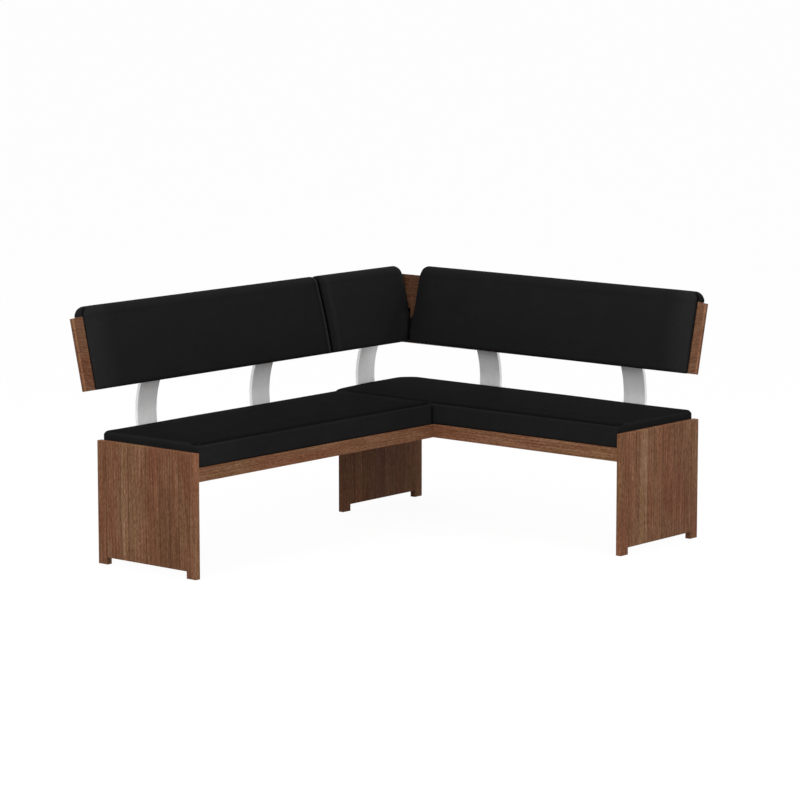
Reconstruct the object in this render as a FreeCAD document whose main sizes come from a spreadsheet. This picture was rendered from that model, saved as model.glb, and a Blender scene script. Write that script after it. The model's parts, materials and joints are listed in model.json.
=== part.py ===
# Corner bench: a long arm and a short arm that meet at a right angle.
# Wooden end panels with cut-out feet carry rails and seat boards, curved flat bars
# rise behind the seats and carry three tilted backrests, and cushions lie on top.
#
# Row frame: X along the long arm with the corner at +X, the short arm comes forward
# along -Y, Z is up, and the origin is the middle of the footprint on the floor.
#
# Bench coordinates, from which every place is worked out:
#   u  distance from the back plane of the short arm's seat, along the long arm
#   v  distance from the back plane of the long arm's seat, along the short arm
#   z  height above the floor

import FreeCAD
import Part
import Sketcher
import math
import os

from FreeCAD import Placement, Rotation, Vector

doc = FreeCAD.newDocument("CornerBench")
sizes = doc.addObject("Spreadsheet::Sheet", "Sizes")
places = doc.addObject("Spreadsheet::Sheet", "Places")

# Driving dimensions in millimetres, angles in degrees.
DRIVING = [
    ("long_arm", 1716, "outer length of the long arm from the corner datum"),
    ("short_arm", 1308, "outer length of the short arm from the corner datum"),
    ("seat_depth", 460, "depth of the end panels and of the seat"),
    ("panel_height", 430, "height of the two end panels"),
    ("panel_thickness", 21, "thickness of end panels and corner leg"),
    ("foot_length", 42, "length of each foot under a panel"),
    ("foot_rise", 25, "height of the cut-out between the feet"),
    ("leg_face", 12, "front face of the corner leg ahead of the corner datum"),
    ("rail_top", 380, "height of the top edge of the front rails"),
    ("rail_height", 48, "height of the front rails"),
    ("rail_thickness", 15, "thickness of all rails"),
    ("rear_rail_height", 60, "height of the rear rails"),
    ("rear_rail_setback", 25, "rear rail behind face to the seat's back plane"),
    ("board_thickness", 18, "thickness of the seat boards"),
    ("board_play", 1, "gap round the edges of a seat board"),
    ("board_overhang", 48, "short seat board past the corner datum"),
    ("ledger", 20, "side of the square ledgers and cleats"),
    ("batten_width", 45, "width of the cross battens"),
    ("batten_share_inner", 0.16, "inner batten's place, as a share of the seat's length"),
    ("batten_share_middle", 0.5, "middle batten's place"),
    ("batten_share_outer", 0.88, "outer batten's place"),
    ("bracket_width", 95, "width of the flat bar of a backrest bracket"),
    ("bracket_thickness", 12, "thickness of the flat bar"),
    ("bracket_curve", 1.38, "inner radius of the bracket's long curve over the height it spans"),
    ("bracket_lean", 20, "forward lean of the curve where it meets the backrest"),
    ("bend_radius", 20, "inner radius of the bend under the seat"),
    ("top_bend_radius", 14, "inner radius of the bend behind the backrest"),
    ("flange_length", 150, "straight part of the bracket under the seat board"),
    ("plate_length", 120, "straight part of the bracket behind the backrest"),
    ("long_bracket_first", 190, "first bracket of the long arm, from the datum"),
    ("long_bracket_end", 340, "last bracket of the long arm, from its outer end"),
    ("short_bracket_first", 342, "first bracket of the short arm, from the datum"),
    ("short_bracket_end", 296, "last bracket of the short arm, from its outer end"),
    ("back_tilt", 13, "backward tilt of the backrests"),
    ("back_bottom", 590, "height of the lower rear edge of the backrests"),
    ("back_height", 255, "height of the backrest boards along the tilt"),
    ("back_board_thickness", 21, "thickness of the rear boards"),
    ("core_depth", 42, "depth of the frame in front of a rear board"),
    ("front_panel_thickness", 12, "thickness of the panel behind a back cushion"),
    ("cheek_thickness", 21, "thickness of the end cheeks of a backrest"),
    ("back_rail_height", 45, "height of the rails inside a backrest"),
    ("long_back_outset", 69, "long backrest behind the seat's back plane"),
    ("short_back_inset", 6, "short backrest ahead of the seat's back plane"),
    ("corner_back_past", 30, "outer end of the corner backrest past the seat's depth"),
    ("back_gap", 4, "gap between the long and the corner backrest"),
    ("corner_play", 0.6, "gap where the short backrest meets the corner backrest"),
    ("pad_front", 24, "back cushion ahead of its wooden frame"),
    ("pad_top", 35, "back cushion above its wooden frame"),
    ("pad_corner_gap", 15, "short back cushion clear of the corner cushion's foot"),
    ("corner_room", 11, "short backrest's core clear of the corner cushion's front"),
    ("pad_end_front", 5, "back cushion ahead of the frame at a free end"),
    ("pad_joint_front", 16, "back cushion ahead of the frame beside another cushion"),
    ("pad_end_top", 6, "back cushion above the frame at a free end"),
    ("pad_joint_top", 27, "back cushion above the frame at the mid joint"),
    ("pad_edge", 4, "softness of the back cushion's long edges"),
    ("pad_crown_run", 100, "length over which a back cushion's front swells"),
    ("pad_round_run", 22, "length over which a back cushion's free end rises"),
    ("pad_joint_run", 9, "length over which a back cushion's joint end rises"),
    ("cushion_edge", 77, "height of the sewn crease above the rails"),
    ("cushion_crown", 8, "middle of the seat cushion above the crease"),
    ("cushion_overhang", 50, "short seat cushion past the corner datum"),
    ("cushion_rear_gap", 2, "seat cushion ahead of the seat's back plane"),
    ("cushion_corner", 14, "plan radius of the seat cushions' corners"),
    ("cushion_big_corner", 70, "plan radius at the free end by the corner"),
    ("cushion_draw", 3, "how far the cushion's sides are drawn in"),
    ("crease_depth", 5, "depth of the sewn crease"),
    ("crease_width", 5, "height of the sewn crease"),
    ("soft_gap", 0.3, "clearance round every cushion"),
    ("hole_play", 0.2, "radial play of dowels, bolts and screws"),
    ("dowel_diameter", 8, "wooden dowels in the rail ends"),
    ("dowel_in_face", 12, "dowel depth in the piece that the rail meets"),
    ("dowel_in_rail", 24, "dowel depth in the rail"),
    ("dowel_edge", 12, "front rail dowels from the rail's edges"),
    ("dowel_drop", 8, "upper rear dowel below the rear rail's top"),
    ("dowel_pitch", 14, "spacing of the rear dowels"),
    ("bolt_diameter", 8, "bolts of the brackets and between the arms"),
    ("bolt_head_diameter", 14, "head of a bolt"),
    ("bolt_head_height", 5, "height of a bolt's head"),
    ("bolt_bite", 14, "bolt depth in the seat board"),
    ("nut_width", 13, "width across flats of a nut"),
    ("nut_height", 6.5, "height of a nut"),
    ("arm_bolt_inset", 60, "arm bolts from the ends of the corner cleat"),
    ("screw_spread", 28, "bracket fixings to each side of its middle"),
    ("flange_hole_edge", 18, "first bolt row from the flange's front end"),
    ("flange_hole_pitch", 28, "spacing of the bolt rows"),
    ("plate_hole_edge", 30, "lower screw row from the start of the plate"),
    ("plate_hole_pitch", 60, "spacing of the screw rows in the plate"),
    ("screw_diameter", 5, "screws of the backrests and the seat boards"),
    ("screw_head_diameter", 10, "head of a screw"),
    ("screw_head_height", 3, "height of a screw's head"),
    ("back_screw_bite", 16, "screw depth in the rear board"),
    ("cleat_screw_bite", 12, "screw depth behind a ledger or cleat"),
    ("board_screw_bite", 16, "screw depth below a seat board"),
    ("screw_end_margin", 60, "outer screws from the ends of a row"),
]

# Worked-out places, each a formula over the driving dimensions.
DERIVED = [
    ("back_lean", "=Sizes.back_height * sin(Sizes.back_tilt)"),
    ("joint_rise", "=Sizes.back_height * cos(Sizes.back_tilt)"
                   " + Sizes.back_board_thickness * sin(Sizes.back_tilt)"),
    ("joint_lean", "=joint_rise * tan(Sizes.back_tilt)"),
    ("datum_x", "=(Sizes.long_arm - back_lean + Sizes.short_back_inset) / 2"),
    ("datum_y", "=(Sizes.short_arm - joint_lean - Sizes.long_back_outset) / 2"),
    ("board_low", "=Sizes.rail_top - Sizes.board_thickness"),
    ("ledger_low", "=board_low - Sizes.ledger"),
    ("flange_low", "=board_low - Sizes.bracket_thickness"),
    ("rail_back", "=Sizes.seat_depth - Sizes.rail_thickness"),
    ("rear_rail_front", "=Sizes.rear_rail_setback + Sizes.rail_thickness"),
    ("long_inner", "=Sizes.long_arm - Sizes.panel_thickness"),
    ("short_inner", "=Sizes.short_arm - Sizes.panel_thickness"),
    ("leg_rear", "=Sizes.leg_face - Sizes.panel_thickness"),
    ("long_seat", "=long_inner - Sizes.seat_depth"),
    ("short_seat", "=short_inner - Sizes.leg_face"),
    ("long_bracket_pitch", "=(Sizes.long_arm - Sizes.long_bracket_first"
                           " - Sizes.long_bracket_end) / 2"),
    ("short_bracket_pitch", "=Sizes.short_arm - Sizes.short_bracket_first"
                            " - Sizes.short_bracket_end"),
    ("corner_back_start", "=Sizes.short_back_inset + Sizes.corner_play"
                          " + Sizes.back_board_thickness * cos(Sizes.back_tilt)"),
    ("corner_back_end", "=Sizes.seat_depth + Sizes.corner_back_past"),
    ("frame_front", "=Sizes.back_board_thickness + Sizes.core_depth"),
    ("pad_plane", "=frame_front + Sizes.pad_front"),
    ("pad_start", "=pad_plane * cos(Sizes.back_tilt) - Sizes.long_back_outset"
                  " + Sizes.pad_corner_gap"),
    # The bracket's side view, with y measured backward from the lower rear edge of
    # the backrest: the bend behind the backrest, the long curve, the bend under the seat.
    ("curve_radius", "=Sizes.bracket_curve * (Sizes.back_bottom - board_low)"),
    ("top_bend_outer", "=Sizes.top_bend_radius + Sizes.bracket_thickness"),
    ("plate_start", "=top_bend_outer * sin(Sizes.bracket_lean + Sizes.back_tilt)"),
    ("top_bend_y", "=plate_start * sin(Sizes.back_tilt) + top_bend_outer * cos(Sizes.back_tilt)"),
    ("top_bend_z", "=Sizes.back_bottom + plate_start * cos(Sizes.back_tilt)"
                   " - top_bend_outer * sin(Sizes.back_tilt)"),
    ("curve_reach", "=top_bend_outer + curve_radius"),
    ("curve_y", "=top_bend_y - curve_reach * cos(Sizes.bracket_lean)"),
    ("curve_z", "=top_bend_z - curve_reach * sin(Sizes.bracket_lean)"),
    ("low_reach", "=curve_radius - Sizes.bend_radius"),
    ("curve_drop", "=asin((curve_z - board_low - Sizes.bend_radius) / low_reach) / 1 deg"),
    ("bend_y", "=curve_y + low_reach * cos(curve_drop)"),
    ("bend_z", "=board_low + Sizes.bend_radius"),
]


def fill_sheets():
    for row, (alias, value, note) in enumerate(DRIVING, start=1):
        sizes.set(f"A{row}", note)
        sizes.set(f"B{row}", str(value))
        sizes.setAlias(f"B{row}", alias)
    doc.recompute()
    for row, (alias, formula) in enumerate(DERIVED, start=1):
        places.set(f"A{row}", alias.replace("_", " "))
        places.setAlias(f"B{row}", alias)
        places.set(f"B{row}", formula)
    doc.recompute()


fill_sheets()
nodes = {}
# How far a cutting tool runs past the face that it cuts.
PAST = 1


def size(alias):
    return float(sizes.get(alias))


def place(alias):
    return float(places.get(alias))


def number(expression):
    """The present value of an expression over the two sheets."""
    result = sizes.evalExpression(expression)
    return float(getattr(result, "Value", result))


def keep(label, solid):
    """Names a finished sub-part."""
    solid.Label = label
    nodes[label] = solid
    return solid


def block(name, u_low, u_high, v_low, v_high, z_low, z_high):
    """A box between bench coordinates, each given as an expression."""
    box = doc.addObject("Part::Box", name)
    box.setExpression("Length", f"({u_high}) - ({u_low})")
    box.setExpression("Width", f"({v_high}) - ({v_low})")
    box.setExpression("Height", f"({z_high}) - ({z_low})")
    box.setExpression("Placement.Base.x", f"Places.datum_x - ({u_high})")
    box.setExpression("Placement.Base.y", f"Places.datum_y - ({v_high})")
    box.setExpression("Placement.Base.z", z_low)
    return box


def compound(name, shapes):
    group = doc.addObject("Part::Feature", name)
    group.Shape = Part.makeCompound(shapes)
    return group


def cut(name, base, *tools):
    """The base less one tool after another."""
    for count, tool in enumerate(tools, start=1):
        result = doc.addObject("Part::Cut", f"{name}_cut{count}")
        result.Base = base
        result.Tool = tool
        base = result
    return base


# Frames of the two arms. In each, x runs along the arm, y backward and z up.
# The upright frame starts at the corner datum, the tilted frame at the lower rear
# edge of the backrest.
class Arm:
    def __init__(self, turn, back_x, back_y):
        datum = Vector(place("datum_x"), place("datum_y"), 0)
        heading = Rotation(Vector(0, 0, 1), turn)
        tilt = Rotation(Vector(1, 0, 0), -size("back_tilt"))
        self.shift = Vector(back_x, back_y, 0)
        self.upright = Placement(datum + self.shift, heading)
        edge = datum + self.shift + Vector(0, 0, size("back_bottom"))
        self.tilted = Placement(edge, heading.multiply(tilt))


LONG = Arm(0, 0, size("long_back_outset"))
SHORT = Arm(-90, -size("short_back_inset"), 0)


def back_block(name, arm, x_low, x_high, off_low, off_high, rise_low, rise_high):
    """A box in an arm's tilted frame, off measured forward from the rear face."""
    box = doc.addObject("Part::Box", name)
    box.setExpression("Length", f"({x_high}) - ({x_low})")
    box.setExpression("Width", f"({off_high}) - ({off_low})")
    box.setExpression("Height", f"({rise_high}) - ({rise_low})")
    corner = Vector(number(x_low), -number(off_high), number(rise_low))
    box.Placement = arm.tilted.multiply(Placement(corner, Rotation()))
    return box


# Fasteners. A spot is the point under the head and the direction of the shank.
def fastener(spot, shank, length, head, head_height, play=0.0):
    point, direction = spot
    shaft = Part.makeCylinder(shank / 2 + play, length + play, point, direction)
    cap = Part.makeCylinder(head / 2 + play, head_height + play, point, direction * -1)
    return shaft.fuse(cap).removeSplitter()


def fastener_set(label, spots, shank, length, head, head_height):
    """The fasteners as one node and the holes that they need as one tool."""
    solids = [fastener(spot, shank, length, head, head_height) for spot in spots]
    keep(label, compound(label, solids))
    play = size("hole_play")
    holes = [fastener(spot, shank, length, head, head_height, play) for spot in spots]
    return compound(f"{label}_holes", holes)


def bench_point(u, v, z):
    return Vector(place("datum_x") - u, place("datum_y") - v, z)


def spread(low, high, count):
    """Evenly spaced places inside a row, kept off its ends."""
    margin = size("screw_end_margin")
    step = (high - low - 2 * margin) / (count - 1)
    return [low + margin + step * k for k in range(count)]


U_AXIS = Vector(-1, 0, 0)
V_AXIS = Vector(0, -1, 0)
UP = Vector(0, 0, 1)
DOWN = Vector(0, 0, -1)

LONG_BRACKETS = [size("long_bracket_first") + place("long_bracket_pitch") * k for k in range(3)]
SHORT_BRACKETS = [size("short_bracket_first") + place("short_bracket_pitch") * k for k in range(2)]
# Each bracket: label, arm and the place of its middle along the arm's own x.
BRACKETS = [
    ("bracket_long_outer", LONG, -LONG_BRACKETS[2]),
    ("bracket_long_middle", LONG, -LONG_BRACKETS[1]),
    ("bracket_long_corner", LONG, -LONG_BRACKETS[0]),
    ("bracket_short_corner", SHORT, SHORT_BRACKETS[0]),
    ("bracket_short_outer", SHORT, SHORT_BRACKETS[1]),
]
BATTENS = ("inner", "middle", "outer")
LONG_BATTENS = [f"Sizes.seat_depth + Places.long_seat * Sizes.batten_share_{k}" for k in BATTENS]
SHORT_BATTENS = [f"Sizes.leg_face + Places.short_seat * Sizes.batten_share_{k}" for k in BATTENS]


def bracket_bolt_spots():
    spots = []
    front = place("bend_y") - size("flange_length")
    for _, arm, middle in BRACKETS:
        for row in range(2):
            y = front + size("flange_hole_edge") + size("flange_hole_pitch") * row
            for side in (-1, 1):
                local = Vector(middle + side * size("screw_spread"), y, place("flange_low"))
                spots.append((arm.upright.multVec(local), UP))
    return spots


def back_screw_spots():
    spots = []
    for _, arm, middle in BRACKETS:
        inward = arm.tilted.Rotation.multVec(Vector(0, -1, 0))
        for row in range(2):
            rise = place("plate_start") + size("plate_hole_edge") + size("plate_hole_pitch") * row
            for side in (-1, 1):
                across = middle + side * size("screw_spread")
                local = Vector(across, size("bracket_thickness"), rise)
                spots.append((arm.tilted.multVec(local), inward))
    return spots


def arm_bolt_spots():
    u = place("rail_back") - size("ledger")
    z = place("ledger_low") + size("ledger") / 2
    low = place("rear_rail_front") + size("arm_bolt_inset")
    high = place("rail_back") - size("arm_bolt_inset")
    return [(bench_point(u, v, z), U_AXIS) for v in (low, high)]


def cleat_screw_spots():
    z = place("ledger_low") + size("ledger") / 2
    inner = place("rail_back") - size("ledger")
    head = size("screw_head_height")
    low = place("rear_rail_front")
    spots = []
    for u in spread(size("seat_depth") + size("ledger"), place("long_inner") - size("ledger"), 5):
        spots.append((bench_point(u, inner + head, z), V_AXIS))
    for v in spread(size("leg_face"), place("short_inner") - size("ledger"), 5):
        spots.append((bench_point(inner + head, v, z), U_AXIS))
    for v in spread(low, place("rail_back"), 3):
        spots.append((bench_point(place("long_inner") - size("ledger") + head, v, z), U_AXIS))
    for u in spread(low, place("rail_back"), 3):
        spots.append((bench_point(u, place("short_inner") - size("ledger") + head, z), V_AXIS))
    return spots


def board_screw_spots():
    """Screws through the seat boards, flush with their tops."""
    z = size("rail_top") - size("screw_head_height")
    rear = size("rear_rail_setback") + size("rail_thickness") / 2
    front = place("rail_back") - size("ledger") / 2
    middle = (place("rear_rail_front") + front) / 2
    quarter = (front - place("rear_rail_front")) / 4
    aside = size("batten_width")
    spots = []
    for u in map(number, LONG_BATTENS):
        for v in (rear, front):
            spots.append((bench_point(u + aside, v, z), DOWN))
        for v in (middle - quarter, middle + quarter):
            spots.append((bench_point(u, v, z), DOWN))
    for v in map(number, SHORT_BATTENS):
        for u in (rear, front):
            spots.append((bench_point(u, v + aside, z), DOWN))
        for u in (middle - quarter, middle + quarter):
            spots.append((bench_point(u, v, z), DOWN))
    leg_middle = size("leg_face") - size("panel_thickness") / 2
    for step in (-1.5, 0.5, 1.5):
        spots.append((bench_point(middle + step * quarter, leg_middle, z), DOWN))
    return spots


def dowel_spots():
    """Each dowel: its end in the piece that the rail meets, and its direction."""
    deep = size("dowel_in_face")
    front_heights = [
        size("rail_top") - size("dowel_edge"),
        size("rail_top") - size("rail_height") + size("dowel_edge"),
    ]
    upper = place("board_low") - size("dowel_drop")
    rear_heights = [upper, upper - size("dowel_pitch")]
    front_middle = size("seat_depth") - size("rail_thickness") / 2
    rear_middle = size("rear_rail_setback") + size("rail_thickness") / 2
    leg_middle = size("leg_face") - size("panel_thickness") / 2
    spots = []
    for middle, heights in ((front_middle, front_heights), (rear_middle, rear_heights)):
        for z in heights:
            spots.append((bench_point(size("seat_depth") - deep, middle, z), U_AXIS))
            spots.append((bench_point(place("long_inner") + deep, middle, z), U_AXIS * -1))
            spots.append((bench_point(middle, place("short_inner") + deep, z), V_AXIS * -1))
    for z in rear_heights:
        spots.append((bench_point(rear_middle, size("leg_face") - deep, z), V_AXIS))
        spots.append((bench_point(place("rail_back") + deep, leg_middle, z), U_AXIS * -1))
    return spots


def dowels():
    length = size("dowel_in_face") + size("dowel_in_rail")
    radius = size("dowel_diameter") / 2
    play = size("hole_play")
    pins = []
    holes = []
    for point, direction in dowel_spots():
        pins.append(Part.makeCylinder(radius, length, point, direction))
        start = point - direction * play
        holes.append(Part.makeCylinder(radius + play, length + 2 * play, start, direction))
    keep("rail_dowels", compound("rail_dowels", pins))
    return compound("dowel_holes", holes)


bolt = (size("bolt_diameter"), size("bolt_head_diameter"), size("bolt_head_height"))
screw = (size("screw_diameter"), size("screw_head_diameter"), size("screw_head_height"))
seat_bolt_holes = fastener_set(
    "bracket_seat_bolts", bracket_bolt_spots(),
    bolt[0], size("bracket_thickness") + size("bolt_bite"), bolt[1], bolt[2])
back_screw_holes = fastener_set(
    "bracket_back_screws", back_screw_spots(),
    screw[0], size("bracket_thickness") + size("back_screw_bite"), screw[1], screw[2])
arm_bolt_length = 2 * size("ledger") + size("rail_thickness") + size("nut_height")
arm_bolt_holes = fastener_set(
    "arm_bolts", arm_bolt_spots(), bolt[0], arm_bolt_length, bolt[1], bolt[2])
cleat_screw_holes = fastener_set(
    "cleat_screws", cleat_screw_spots(),
    screw[0], size("ledger") - screw[2] + size("cleat_screw_bite"), screw[1], screw[2])
board_screw_holes = fastener_set(
    "seat_board_screws", board_screw_spots(),
    screw[0], size("board_thickness") - screw[2] + size("board_screw_bite"), screw[1], screw[2])
dowel_holes = dowels()


def nuts():
    """Hexagon nuts on the arm bolts, against the corner cleat."""
    solids = []
    across = size("nut_width") / math.sqrt(3)
    reach = 2 * size("ledger") + size("rail_thickness")
    corners = []
    for k in range(7):
        turn = math.radians(60 * k)
        corners.append(Vector(0, across * math.cos(turn), across * math.sin(turn)))
    face = Part.Face(Part.makePolygon(corners))
    prism = face.extrude(U_AXIS * size("nut_height"))
    bore_radius = size("bolt_diameter") / 2 + size("hole_play")
    bore = Part.makeCylinder(bore_radius, size("nut_height"), Vector(0, 0, 0), U_AXIS)
    nut = prism.cut(bore)
    for point, _ in arm_bolt_spots():
        solids.append(nut.translated(point + U_AXIS * reach))
    keep("arm_nuts", compound("arm_nuts", solids))


nuts()


# End panels and corner leg: one outline with two feet, padded to the thickness.
def outline(sketch, corners):
    """A closed outline of level and upright lines through the given corners.

    Each corner is a pair of expressions, and the first side is level."""
    points = [Vector(number(x), number(y), 0) for x, y in corners]
    total = len(points)
    for k in range(total):
        sketch.addGeometry(Part.LineSegment(points[k], points[(k + 1) % total]))
    for k in range(total):
        follower = (k + 1) % total
        sketch.addConstraint(Sketcher.Constraint("Coincident", k, 2, follower, 1))
    for k in range(total):
        level = k % 2 == 0
        sketch.addConstraint(Sketcher.Constraint("Horizontal" if level else "Vertical", k))
    for k, (x, y) in enumerate(corners):
        level = k % 2 == 0
        text = y if level else x
        value = number(text)
        kind = "DistanceY" if level else "DistanceX"
        if text == "0":
            axis = -1 if level else -2
            sketch.addConstraint(Sketcher.Constraint("PointOnObject", k, 1, axis))
            continue
        index = sketch.addConstraint(Sketcher.Constraint(kind, -1, 1, k, 1, value))
        sketch.setExpression(f"Constraints[{index}]", text)


def panel(name, height, turn, base):
    """A panel with two feet; local x is its depth, y its height, z its thickness."""
    body = doc.addObject("PartDesign::Body", f"{name}_body")
    sketch = body.newObject("Sketcher::SketchObject", f"{name}_outline")
    plane = [item for item in body.Origin.OriginFeatures if item.Role == "XY_Plane"][0]
    sketch.AttachmentSupport = [(plane, "")]
    sketch.MapMode = "FlatFace"
    foot = "Sizes.foot_length"
    inner = "Sizes.seat_depth - Sizes.foot_length"
    outline(sketch, [
        ("0", "0"), (foot, "0"), (foot, "Sizes.foot_rise"), (inner, "Sizes.foot_rise"),
        (inner, "0"), ("Sizes.seat_depth", "0"), ("Sizes.seat_depth", height), ("0", height),
    ])
    pad = body.newObject("PartDesign::Pad", f"{name}_pad")
    pad.Profile = sketch
    pad.setExpression("Length", "Sizes.panel_thickness")
    body.Tip = pad
    sketch.Visibility = False
    body.Placement = Placement(base, turn)
    return body


UPRIGHT_ALONG_V = Rotation(Vector(0, -1, 0), Vector(0, 0, 1), Vector(-1, 0, 0), "ZXY")
UPRIGHT_ALONG_U = Rotation(Vector(-1, 0, 0), Vector(0, 0, 1), Vector(0, 1, 0), "ZXY")


def panels():
    left = panel("left_end_panel", "Sizes.panel_height", UPRIGHT_ALONG_V,
                 bench_point(place("long_inner"), 0, 0))
    keep("left_end_panel", cut("left_end_panel", left, dowel_holes, cleat_screw_holes))
    right = panel("right_end_panel", "Sizes.panel_height", UPRIGHT_ALONG_U,
                  bench_point(0, size("short_arm"), 0))
    keep("right_end_panel", cut("right_end_panel", right, dowel_holes, cleat_screw_holes))
    leg = panel("corner_leg", "Places.board_low", UPRIGHT_ALONG_U,
                bench_point(-size("rail_thickness"), size("leg_face"), 0))
    slot = block("corner_leg_slot",
                 "Sizes.long_bracket_first - Sizes.bracket_width / 2 - Sizes.hole_play",
                 "Sizes.long_bracket_first + Sizes.bracket_width / 2 + Sizes.hole_play",
                 f"Places.leg_rear - {PAST}", f"Sizes.leg_face + {PAST}",
                 "Places.flange_low", f"Places.board_low + {PAST}")
    keep("corner_leg", cut("corner_leg", leg, slot, dowel_holes, board_screw_holes))


panels()


# Rails, ledgers, cleats, battens and seat boards.
def bracket_slots(arm, steps):
    """The slots in an arm's rear rail that the brackets' flanges lie in."""
    half = "(Sizes.bracket_width / 2 + Sizes.hole_play)"
    across = (f"Sizes.rear_rail_setback - {PAST}", f"Places.rear_rail_front + {PAST}")
    slots = []
    for k in steps:
        middle = f"Sizes.{arm}_bracket_first + {k} * Places.{arm}_bracket_pitch"
        along = (f"{middle} - {half}", f"{middle} + {half}")
        u_span, v_span = (along, across) if arm == "long" else (across, along)
        slots.append(block(f"{arm}_rear_rail_slot{k}", *u_span, *v_span,
                           "Places.flange_low", f"Places.board_low + {PAST}"))
    return slots


def rails():
    rail_low = "Sizes.rail_top - Sizes.rail_height"
    long_front = block("long_front_rail_blank", "Sizes.seat_depth", "Places.long_inner",
                       "Places.rail_back", "Sizes.seat_depth", rail_low, "Sizes.rail_top")
    keep("long_front_rail",
         cut("long_front_rail", long_front, dowel_holes, cleat_screw_holes))
    short_front = block("short_front_rail_blank", "Places.rail_back", "Sizes.seat_depth",
                        "Places.leg_rear", "Places.short_inner", rail_low, "Sizes.rail_top")
    keep("short_front_rail",
         cut("short_front_rail", short_front, dowel_holes, cleat_screw_holes, arm_bolt_holes))
    rear_low = "Places.board_low - Sizes.rear_rail_height"
    setback = "Sizes.rear_rail_setback"
    long_rear = block("long_rear_rail_blank", "Sizes.seat_depth", "Places.long_inner",
                      setback, "Places.rear_rail_front", rear_low, "Places.board_low")
    long_slots = bracket_slots("long", (1, 2))
    keep("long_rear_rail",
         cut("long_rear_rail", long_rear, *long_slots, dowel_holes, board_screw_holes))
    short_rear = block("short_rear_rail_blank", setback, "Places.rear_rail_front",
                       "Sizes.leg_face", "Places.short_inner", rear_low, "Places.board_low")
    short_slots = bracket_slots("short", (0, 1))
    keep("short_rear_rail",
         cut("short_rear_rail", short_rear, *short_slots, dowel_holes, board_screw_holes))


def ledgers_and_cleats():
    low, high = "Places.ledger_low", "Places.board_low"
    inner = "Places.rail_back - Sizes.ledger"
    rows = [
        ("long_front_ledger", "Sizes.seat_depth + Sizes.ledger",
         "Places.long_inner - Sizes.ledger", inner, "Places.rail_back"),
        ("short_front_ledger", inner, "Places.rail_back",
         "Sizes.leg_face", "Places.short_inner - Sizes.ledger"),
        ("left_end_cleat", "Places.long_inner - Sizes.ledger", "Places.long_inner",
         "Places.rear_rail_front", "Places.rail_back"),
        ("right_end_cleat", "Places.rear_rail_front", "Places.rail_back",
         "Places.short_inner - Sizes.ledger", "Places.short_inner"),
        ("corner_cleat", "Sizes.seat_depth", "Sizes.seat_depth + Sizes.ledger",
         "Places.rear_rail_front", "Places.rail_back"),
    ]
    for label, u_low, u_high, v_low, v_high in rows:
        blank = block(f"{label}_blank", u_low, u_high, v_low, v_high, low, high)
        tools = [cleat_screw_holes, board_screw_holes]
        if label in ("short_front_ledger", "corner_cleat"):
            tools.append(arm_bolt_holes)
        keep(label, cut(label, blank, *tools))


def battens():
    low, high = "Places.ledger_low", "Places.board_low"
    near, far = "Places.rear_rail_front", "Places.rail_back - Sizes.ledger"
    half = "Sizes.batten_width / 2"
    for k, long_middle, short_middle in zip(BATTENS, LONG_BATTENS, SHORT_BATTENS):
        blank = block(f"long_batten_{k}_blank", f"{long_middle} - {half}",
                      f"{long_middle} + {half}", near, far, low, high)
        keep(f"long_batten_{k}", cut(f"long_batten_{k}", blank, board_screw_holes))
        blank = block(f"short_batten_{k}_blank", near, far,
                      f"{short_middle} - {half}", f"{short_middle} + {half}", low, high)
        keep(f"short_batten_{k}", cut(f"short_batten_{k}", blank, board_screw_holes))


def seat_boards():
    play = "Sizes.board_play"
    low, high = "Places.board_low", "Sizes.rail_top"
    setback = "Sizes.rear_rail_setback"
    front = f"Places.rail_back - {play}"
    long_blank = block("long_seat_board_blank", f"Sizes.seat_depth + {play}",
                       f"Places.long_inner - {play}", setback, front, low, high)
    keep("long_seat_board",
         cut("long_seat_board", long_blank, board_screw_holes, seat_bolt_holes))
    short_blank = block("short_seat_board_blank", setback, front, "-Sizes.board_overhang",
                        f"Places.short_inner - {play}", low, high)
    keep("short_seat_board",
         cut("short_seat_board", short_blank, board_screw_holes, seat_bolt_holes))


rails()
ledgers_and_cleats()
battens()
seat_boards()


# Brackets: a flange under the seat, a bend, the long curve, a bend back and a plate.
def sector(name, arm, low_x, centre_y, centre_z, inner, start, sweep):
    """Part of a flat bar bent round an axis along the arm.

    Angles run from straight down towards the back."""
    turn = Rotation(Vector(0, 1, 0), 90).multiply(Rotation(Vector(0, 0, 1), number(start)))
    local = Placement(Vector(low_x, number(centre_y), number(centre_z)), turn)
    pieces = []
    for part, radius in (("outer", f"{inner} + Sizes.bracket_thickness"), ("inner", inner)):
        cylinder = doc.addObject("Part::Cylinder", f"{name}_{part}")
        cylinder.setExpression("Radius", radius)
        cylinder.setExpression("Height", "Sizes.bracket_width")
        cylinder.setExpression("Angle", sweep)
        cylinder.Placement = arm.upright.multiply(local)
        pieces.append(cylinder)
    return cut(name, pieces[0], pieces[1])


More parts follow.
